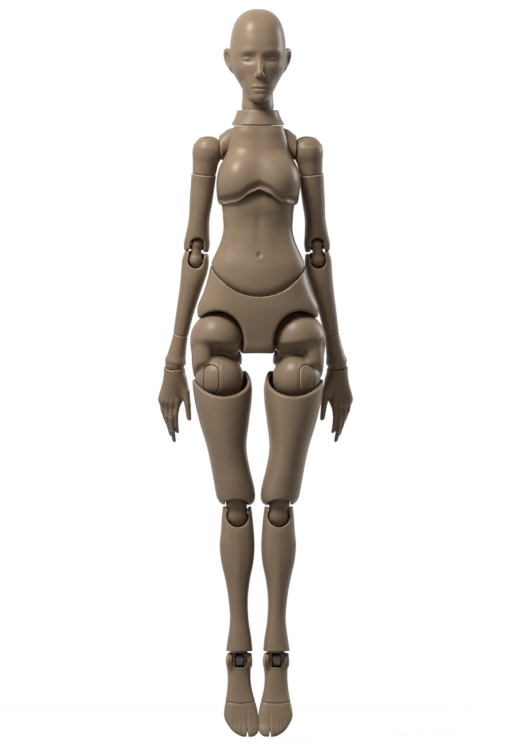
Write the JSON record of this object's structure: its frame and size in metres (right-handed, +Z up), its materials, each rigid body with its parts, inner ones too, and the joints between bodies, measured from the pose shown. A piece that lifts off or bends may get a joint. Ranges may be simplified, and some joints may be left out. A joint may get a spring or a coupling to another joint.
{
  "type": "action figure body",
  "caption": "Bare jointed one-sixth scale figure body in taupe plastic, with ball and double-hinge joints from neck to toes, hung with its feet pointed down.",
  "frame": {"origin": "centre of the flat face under the crotch, where a display stand's saddle holds the figure", "axes": "+Z up towards the head, the figure faces -Y, and +X is the figure's own left"},
  "size_m": [0.0768, 0.0386, 0.2915],
  "materials": {
    "body_plastic": "semi-matte moulded taupe plastic",
    "joint_plastic": "semi-matte moulded joint plastic",
    "steel_pin": "plain drawn steel",
    "dark_metal": "dark metal"
  },
  "bodies": {
    "pelvis": {"pelvis": "body_plastic"},
    "waist_peg": {"waist_ball_peg": "joint_plastic"},
    "abdomen": {"abdomen": "body_plastic"},
    "chest": {"chest_front": "body_plastic", "chest_back": "body_plastic", "chest_ball_peg": "joint_plastic", "neck_collar": "body_plastic"},
    "neck": {"neck": "body_plastic"},
    "head_peg": {"head_peg": "joint_plastic"},
    "head": {"head": "body_plastic"},
    "left_clavicle": {"left_clavicle": "body_plastic"},
    "left_shoulder_hinge": {"left_shoulder_hinge": "joint_plastic"},
    "left_deltoid": {"left_deltoid": "body_plastic"},
    "left_upper_arm": {"left_upper_arm": "body_plastic", "left_elbow_pin_upper": "steel_pin"},
    "left_elbow_link": {"left_elbow_link": "joint_plastic"},
    "left_forearm": {"left_forearm": "body_plastic", "left_elbow_pin_lower": "steel_pin"},
    "left_wrist_cuff": {"left_wrist_cuff": "body_plastic"},
    "left_hand": {"left_hand": "body_plastic", "left_wrist_peg": "joint_plastic"},
    "right_clavicle": {"right_clavicle": "body_plastic"},
    "right_shoulder_hinge": {"right_shoulder_hinge": "joint_plastic"},
    "right_deltoid": {"right_deltoid": "body_plastic"},
    "right_upper_arm": {"right_upper_arm": "body_plastic", "right_elbow_pin_upper": "steel_pin"},
    "right_elbow_link": {"right_elbow_link": "joint_plastic"},
    "right_forearm": {"right_forearm": "body_plastic", "right_elbow_pin_lower": "steel_pin"},
    "right_wrist_cuff": {"right_wrist_cuff": "body_plastic"},
    "right_hand": {"right_hand": "body_plastic", "right_wrist_peg": "joint_plastic"},
    "left_hip_peg": {"left_hip_peg": "joint_plastic"},
    "left_upper_thigh": {"left_upper_thigh": "body_plastic", "left_thigh_joint_cap": "body_plastic"},
    "left_thigh": {"left_thigh": "body_plastic", "left_thigh_hinge_pin": "steel_pin", "left_knee_pin_upper": "steel_pin"},
    "left_knee_link": {"left_knee_link": "joint_plastic"},
    "left_shin": {"left_shin": "body_plastic", "left_knee_pin_lower": "steel_pin"},
    "left_ankle_link": {"left_ankle_link": "dark_metal"},
    "left_foot": {"left_foot": "body_plastic", "left_ankle_pin": "steel_pin", "left_toe_pin": "steel_pin"},
    "left_toe": {"left_toe": "body_plastic"},
    "right_hip_peg": {"right_hip_peg": "joint_plastic"},
    "right_upper_thigh": {"right_upper_thigh": "body_plastic", "right_thigh_joint_cap": "body_plastic"},
    "right_thigh": {"right_thigh": "body_plastic", "right_thigh_hinge_pin": "steel_pin", "right_knee_pin_upper": "steel_pin"},
    "right_knee_link": {"right_knee_link": "joint_plastic"},
    "right_shin": {"right_shin": "body_plastic", "right_knee_pin_lower": "steel_pin"},
    "right_ankle_link": {"right_ankle_link": "dark_metal"},
    "right_foot": {"right_foot": "body_plastic", "right_ankle_pin": "steel_pin", "right_toe_pin": "steel_pin"},
    "right_toe": {"right_toe": "body_plastic"}
  },
  "joints": [
    {"name": "waist_twist", "type": "hinge", "parent": "pelvis", "child": "waist_peg", "pos_m": [0, -0.002, 0.0412], "axis": [0, 0, 1], "range_deg": [-25, 25]},
    {"name": "waist_bend", "type": "hinge", "parent": "waist_peg", "child": "abdomen", "pos_m": [0, -0.002, 0.0412], "axis": [1, 0, 0], "range_deg": [-8, 15]},
    {"name": "chest_bend", "type": "hinge", "parent": "abdomen", "child": "chest", "pos_m": [0, -0.0003, 0.0605], "axis": [1, 0, 0], "range_deg": [-10, 20]},
    {"name": "neck_tilt", "type": "hinge", "parent": "chest", "child": "neck", "pos_m": [0, 0.0015, 0.0945], "axis": [1, 0, 0], "range_deg": [-10, 15]},
    {"name": "head_nod", "type": "hinge", "parent": "neck", "child": "head_peg", "pos_m": [0, 0.0025, 0.106], "axis": [1, 0, 0], "range_deg": [-12, 12]},
    {"name": "head_turn", "type": "hinge", "parent": "head_peg", "child": "head", "pos_m": [0, 0.0025, 0.106], "axis": [0, 0, 1], "range_deg": [-60, 60]},
    {"name": "left_shrug", "type": "hinge", "parent": "chest", "child": "left_clavicle", "pos_m": [0.0085, 0.002, 0.083], "axis": [0, -1, 0], "range_deg": [-3, 10]},
    {"name": "left_arm_swing", "type": "hinge", "parent": "left_clavicle", "child": "left_shoulder_hinge", "pos_m": [0.0209, 0.002, 0.0816], "axis": [-1, 0, 0], "range_deg": [-35, 150]},
    {"name": "left_arm_raise", "type": "hinge", "parent": "left_shoulder_hinge", "child": "left_deltoid", "pos_m": [0.0209, 0.002, 0.0816], "axis": [0, -0.9877, -0.1564], "range_deg": [0, 80]},
    {"name": "left_arm_swivel", "type": "hinge", "parent": "left_deltoid", "child": "left_upper_arm", "pos_m": [0.02177, 0.00362, 0.07136], "axis": [-0.0837, -0.1559, 0.9842], "range_deg": [-60, 60]},
    {"name": "left_elbow_upper", "type": "hinge", "parent": "left_upper_arm", "child": "left_elbow_link", "pos_m": [0.02408, 0.00792, 0.0442], "axis": [-0.9965, 0.0131, -0.0826], "range_deg": [0, 60]},
    {"name": "left_elbow_lower", "type": "hinge", "parent": "left_elbow_link", "child": "left_forearm", "pos_m": [0.02463, 0.00895, 0.0377], "axis": [-0.9829, 0.0288, -0.1817], "range_deg": [0, 60]},
    {"name": "left_forearm_twist", "type": "hinge", "parent": "left_forearm", "child": "left_wrist_cuff", "pos_m": [0.03032, 0.0137, 0.00771], "axis": [-0.184, -0.1538, 0.9708], "range_deg": [-80, 80]},
    {"name": "left_wrist_flex", "type": "hinge", "parent": "left_wrist_cuff", "child": "left_hand", "pos_m": [0.03254, 0.01556, -0.00404], "axis": [-0.9829, 0.0288, -0.1817], "range_deg": [-35, 35]},
    {"name": "right_shrug", "type": "hinge", "parent": "chest", "child": "right_clavicle", "pos_m": [-0.0085, 0.002, 0.083], "axis": [0, 1, 0], "range_deg": [-3, 10]},
    {"name": "right_arm_swing", "type": "hinge", "parent": "right_clavicle", "child": "right_shoulder_hinge", "pos_m": [-0.0209, 0.002, 0.0816], "axis": [-1, 0, 0], "range_deg": [-35, 150]},
    {"name": "right_arm_raise", "type": "hinge", "parent": "right_shoulder_hinge", "child": "right_deltoid", "pos_m": [-0.0209, 0.002, 0.0816], "axis": [0, 0.9877, 0.1564], "range_deg": [0, 80]},
    {"name": "right_arm_swivel", "type": "hinge", "parent": "right_deltoid", "child": "right_upper_arm", "pos_m": [-0.02177, 0.00362, 0.07136], "axis": [-0.0837, 0.1559, -0.9842], "range_deg": [-60, 60]},
    {"name": "right_elbow_upper", "type": "hinge", "parent": "right_upper_arm", "child": "right_elbow_link", "pos_m": [-0.02408, 0.00792, 0.0442], "axis": [-0.9965, -0.0131, 0.0826], "range_deg": [0, 60]},
    {"name": "right_elbow_lower", "type": "hinge", "parent": "right_elbow_link", "child": "right_forearm", "pos_m": [-0.02463, 0.00895, 0.0377], "axis": [-0.9829, -0.0288, 0.1817], "range_deg": [0, 60]},
    {"name": "right_forearm_twist", "type": "hinge", "parent": "right_forearm", "child": "right_wrist_cuff", "pos_m": [-0.03032, 0.0137, 0.00771], "axis": [-0.184, 0.1538, -0.9708], "range_deg": [-80, 80]},
    {"name": "right_wrist_flex", "type": "hinge", "parent": "right_wrist_cuff", "child": "right_hand", "pos_m": [-0.03254, 0.01556, -0.00404], "axis": [-0.9829, -0.0288, 0.1817], "range_deg": [-35, 35]},
    {"name": "left_hip_swing", "type": "hinge", "parent": "pelvis", "child": "left_hip_peg", "pos_m": [0.0164, 0, 0.0066], "axis": [-1, 0, 0], "range_deg": [-10, 60]},
    {"name": "left_hip_spread", "type": "hinge", "parent": "left_hip_peg", "child": "left_upper_thigh", "pos_m": [0.0164, 0, 0.0066], "axis": [0, -1, 0], "range_deg": [0, 30]},
    {"name": "left_thigh_lift", "type": "hinge", "parent": "left_upper_thigh", "child": "left_thigh", "pos_m": [0.0155, 0, -0.0096], "axis": [-1, 0, 0], "range_deg": [-5, 60]},
    {"name": "left_knee_upper", "type": "hinge", "parent": "left_thigh", "child": "left_knee_link", "pos_m": [0.0088, 0.0008, -0.057], "axis": [1, 0, 0], "range_deg": [0, 60]},
    {"name": "left_knee_lower", "type": "hinge", "parent": "left_knee_link", "child": "left_shin", "pos_m": [0.0083, 0.0008, -0.0648], "axis": [1, 0, 0], "range_deg": [0, 60]},
    {"name": "left_ankle_tilt", "type": "hinge", "parent": "left_shin", "child": "left_ankle_link", "pos_m": [0.0074, 0.0008, -0.1162], "axis": [0, -1, 0], "range_deg": [0, 10]},
    {"name": "left_ankle_flex", "type": "hinge", "parent": "left_ankle_link", "child": "left_foot", "pos_m": [0.0074, 0.0008, -0.1223], "axis": [-1, 0, 0], "range_deg": [-8, 50]},
    {"name": "left_toe_bend", "type": "hinge", "parent": "left_foot", "child": "left_toe", "pos_m": [0.0074, -0.00098, -0.14148], "axis": [-1, 0, 0], "range_deg": [-10, 35]},
    {"name": "right_hip_swing", "type": "hinge", "parent": "pelvis", "child": "right_hip_peg", "pos_m": [-0.0164, 0, 0.0066], "axis": [-1, 0, 0], "range_deg": [-10, 60]},
    {"name": "right_hip_spread", "type": "hinge", "parent": "right_hip_peg", "child": "right_upper_thigh", "pos_m": [-0.0164, 0, 0.0066], "axis": [0, 1, 0], "range_deg": [0, 30]},
    {"name": "right_thigh_lift", "type": "hinge", "parent": "right_upper_thigh", "child": "right_thigh", "pos_m": [-0.0155, 0, -0.0096], "axis": [-1, 0, 0], "range_deg": [-5, 60]},
    {"name": "right_knee_upper", "type": "hinge", "parent": "right_thigh", "child": "right_knee_link", "pos_m": [-0.0088, 0.0008, -0.057], "axis": [1, 0, 0], "range_deg": [0, 60]},
    {"name": "right_knee_lower", "type": "hinge", "parent": "right_knee_link", "child": "right_shin", "pos_m": [-0.0083, 0.0008, -0.0648], "axis": [1, 0, 0], "range_deg": [0, 60]},
    {"name": "right_ankle_tilt", "type": "hinge", "parent": "right_shin", "child": "right_ankle_link", "pos_m": [-0.0074, 0.0008, -0.1162], "axis": [0, 1, 0], "range_deg": [0, 10]},
    {"name": "right_ankle_flex", "type": "hinge", "parent": "right_ankle_link", "child": "right_foot", "pos_m": [-0.0074, 0.0008, -0.1223], "axis": [-1, 0, 0], "range_deg": [-8, 50]},
    {"name": "right_toe_bend", "type": "hinge", "parent": "right_foot", "child": "right_toe", "pos_m": [-0.0074, -0.00098, -0.14148], "axis": [-1, 0, 0], "range_deg": [-10, 35]}
  ]
}
